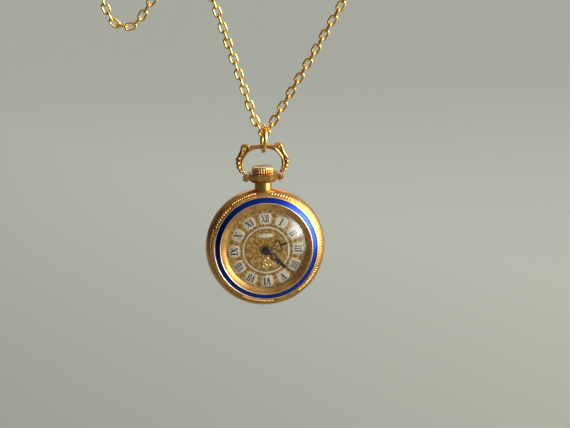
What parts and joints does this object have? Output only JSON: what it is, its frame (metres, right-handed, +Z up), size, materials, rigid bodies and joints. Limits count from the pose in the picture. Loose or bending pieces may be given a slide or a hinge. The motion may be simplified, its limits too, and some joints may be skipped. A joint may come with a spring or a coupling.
{
  "type": "pendant watch",
  "caption": "Round pendant watch with a blue enamel bezel, domed crystal, gilt dial, fluted crown and scrolled bow, hanging by a bail on a link chain.",
  "frame": {"origin": "centre of the flat back face of the case", "axes": "+Y out of the back of the case, so the dial looks along -Y; +Z up along the stem, from the case to the chain; +X to the right of the dial"},
  "size_m": [0.061, 0.0083, 0.0782],
  "materials": {
    "gold": "polished rose gold plate",
    "bright_gold": "polished yellow gold plate",
    "enamel": "translucent blue enamel",
    "glass": "clear",
    "dial_gold": "embossed gilt",
    "white_enamel": "white enamel",
    "black": "black gloss",
    "gilt": "gilt brass, brushed",
    "steel": "brushed",
    "brass": "circular grained",
    "ruby": "clear red",
    "blued": "blued steel"
  },
  "bodies": {
    "chain": {"chain_left": "bright_gold", "chain_right": "bright_gold", "chain_ends": "bright_gold"},
    "bail": {"bail": "bright_gold"},
    "bow": {"bow": "gold"},
    "case": {"case_middle": "gold", "back_cover": "gold", "bezel": "gold", "enamel_ring": "enamel", "crystal": "glass", "reflector_ring": "bright_gold", "pendant_neck": "gold", "pendant_collar": "gold", "bow_screws": "gold", "movement_ring": "gilt", "case_screws": "steel", "dial": "dial_gold", "dial_cartouches": "white_enamel", "dial_track": "white_enamel", "dial_plaque": "white_enamel", "main_plate": "gilt", "barrel_bridge": "gilt", "train_bridge": "gilt", "pallet_cock": "gilt", "balance_cock": "gilt", "bridge_screws": "steel", "jewels": "ruby", "yoke_spring": "steel", "click_spring": "steel", "crown_wheel_screw": "steel", "mainspring": "steel", "hairspring": "blued"},
    "winding_pinion": {"winding_pinion": "steel"},
    "crown_and_stem": {"crown": "gold", "winding_stem": "steel"},
    "sliding_pinion": {"sliding_pinion": "steel"},
    "setting_lever": {"setting_lever": "steel"},
    "yoke": {"yoke": "steel"},
    "crown_wheel": {"crown_wheel": "steel"},
    "ratchet": {"ratchet_wheel": "steel", "barrel_arbor": "steel"},
    "click": {"click": "steel"},
    "minute_hand_set": {"centre_wheel": "brass", "cannon_pinion": "steel", "minute_hand": "black", "hand_boss": "black"},
    "hour_hand_set": {"hour_wheel": "brass", "hour_hand": "black"},
    "minute_wheel": {"minute_wheel": "brass"},
    "setting_wheel": {"setting_wheel": "steel"},
    "barrel": {"barrel_drum": "brass", "barrel_lid": "brass"},
    "third_wheel": {"third_wheel": "brass"},
    "fourth_wheel": {"fourth_wheel": "brass"},
    "escape_wheel": {"escape_wheel": "brass"},
    "pallet": {"pallet_fork": "steel", "pallet_stones": "ruby"},
    "balance": {"balance_wheel": "brass", "balance_staff": "steel"},
    "regulator": {"regulator_index": "steel"}
  },
  "joints": [
    {"name": "bail_swing", "type": "hinge", "parent": "chain", "child": "bail", "pos_m": [0.00071, -0.003, 0.02685], "axis": [1, 0, 0], "range_deg": [-30, 30]},
    {"name": "bow_swing", "type": "hinge", "parent": "bail", "child": "bow", "pos_m": [0, -0.003, 0.02295], "axis": [1, 0, 0], "range_deg": [-30, 30]},
    {"name": "case_swing", "type": "hinge", "parent": "bow", "child": "case", "pos_m": [0, -0.003, 0.01585], "axis": [1, 0, 0], "range_deg": [-60, 60]},
    {"name": "crown_turn", "type": "hinge", "parent": "case", "child": "winding_pinion", "pos_m": [0, -0.003, 0.0062], "axis": [0, 0, 1], "continuous": true},
    {"name": "crown_pull", "type": "slide", "parent": "winding_pinion", "child": "crown_and_stem", "axis": [0, 0, 1], "range_m": [0, 0.0005]},
    {"name": "sliding_pinion_slide", "type": "slide", "parent": "winding_pinion", "child": "sliding_pinion", "axis": [0, 0, 1], "range_m": [-0.00045, 0]},
    {"name": "setting_lever_turn", "type": "hinge", "parent": "case", "child": "setting_lever", "pos_m": [0.0022, -0.0042, 0.00692], "axis": [0, 1, 0], "range_deg": [0, 13.1]},
    {"name": "yoke_turn", "type": "hinge", "parent": "case", "child": "yoke", "pos_m": [-0.003, -0.0044, 0.00515], "axis": [0, 1, 0], "range_deg": [0, 8.6]},
    {"name": "crown_wheel_turn", "type": "hinge", "parent": "case", "child": "crown_wheel", "pos_m": [-0.002, -0.0015, 0.0048], "axis": [0, 1, 0], "continuous": true},
    {"name": "ratchet_turn", "type": "hinge", "parent": "case", "child": "ratchet", "pos_m": [-0.00362, -0.0015, 0.0006], "axis": [0, 1, 0], "continuous": true},
    {"name": "click_lift", "type": "hinge", "parent": "case", "child": "click", "pos_m": [-0.00711, -0.0015, -0.00067], "axis": [0, 1, 0], "range_deg": [0, 6]},
    {"name": "minute_hand_turn", "type": "hinge", "parent": "case", "child": "minute_hand_set", "pos_m": [0, -0.004, -0.0005], "axis": [0, 1, 0], "continuous": true},
    {"name": "hour_hand_turn", "type": "hinge", "parent": "case", "child": "hour_hand_set", "pos_m": [0, -0.004, -0.0005], "axis": [0, 1, 0], "continuous": true},
    {"name": "minute_wheel_turn", "type": "hinge", "parent": "case", "child": "minute_wheel", "pos_m": [-0.00031, -0.0043, 0.00127], "axis": [0, 1, 0], "continuous": true},
    {"name": "setting_wheel_turn", "type": "hinge", "parent": "case", "child": "setting_wheel", "pos_m": [0.00008, -0.0043, 0.00349], "axis": [0, 1, 0], "continuous": true},
    {"name": "barrel_turn", "type": "hinge", "parent": "case", "child": "barrel", "pos_m": [-0.00362, -0.003, 0.0006], "axis": [0, 1, 0], "continuous": true},
    {"name": "third_wheel_turn", "type": "hinge", "parent": "case", "child": "third_wheel", "pos_m": [0.00296, -0.003, 0.00029], "axis": [0, 1, 0], "continuous": true},
    {"name": "fourth_wheel_turn", "type": "hinge", "parent": "case", "child": "fourth_wheel", "pos_m": [0.00362, -0.003, -0.00217], "axis": [0, 1, 0], "continuous": true},
    {"name": "escape_wheel_turn", "type": "hinge", "parent": "case", "child": "escape_wheel", "pos_m": [0.00238, -0.003, -0.00393], "axis": [0, 1, 0], "continuous": true},
    {"name": "pallet_swing", "type": "hinge", "parent": "case", "child": "pallet", "pos_m": [0.00051, -0.003, -0.00445], "axis": [0, 1, 0], "range_deg": [-3, 3]},
    {"name": "balance_swing", "type": "hinge", "parent": "case", "child": "balance", "pos_m": [-0.00275, -0.003, -0.00535], "axis": [0, 1, 0], "range_deg": [-20, 20], "stiffness_Nm_per_rad": 0.000000025, "deforming": ["hairspring"]},
    {"name": "regulator_turn", "type": "hinge", "parent": "case", "child": "regulator", "pos_m": [-0.00275, -0.0015, -0.00535], "axis": [0, 1, 0], "range_deg": [-15, 15]}
  ],
  "couplings": [
    {"joint": "sliding_pinion_slide", "follows": "crown_pull", "ratio": -0.9},
    {"joint": "setting_lever_turn", "follows": "crown_pull", "rad_per_m": 454.5},
    {"joint": "yoke_turn", "follows": "crown_pull", "rad_per_m": 300},
    {"joint": "crown_wheel_turn", "follows": "crown_turn", "ratio": -0.79167},
    {"joint": "ratchet_turn", "follows": "crown_turn", "ratio": 0.55882},
    {"joint": "hour_hand_turn", "follows": "minute_hand_turn", "ratio": 0.083333},
    {"joint": "minute_wheel_turn", "follows": "minute_hand_turn", "ratio": -0.33333},
    {"joint": "setting_wheel_turn", "follows": "minute_hand_turn", "ratio": 0.5},
    {"joint": "barrel_turn", "follows": "minute_hand_turn", "ratio": -0.16667},
    {"joint": "third_wheel_turn", "follows": "minute_hand_turn", "ratio": -8},
    {"joint": "fourth_wheel_turn", "follows": "minute_hand_turn", "ratio": 60},
    {"joint": "escape_wheel_turn", "follows": "minute_hand_turn", "ratio": -600}
  ]
}
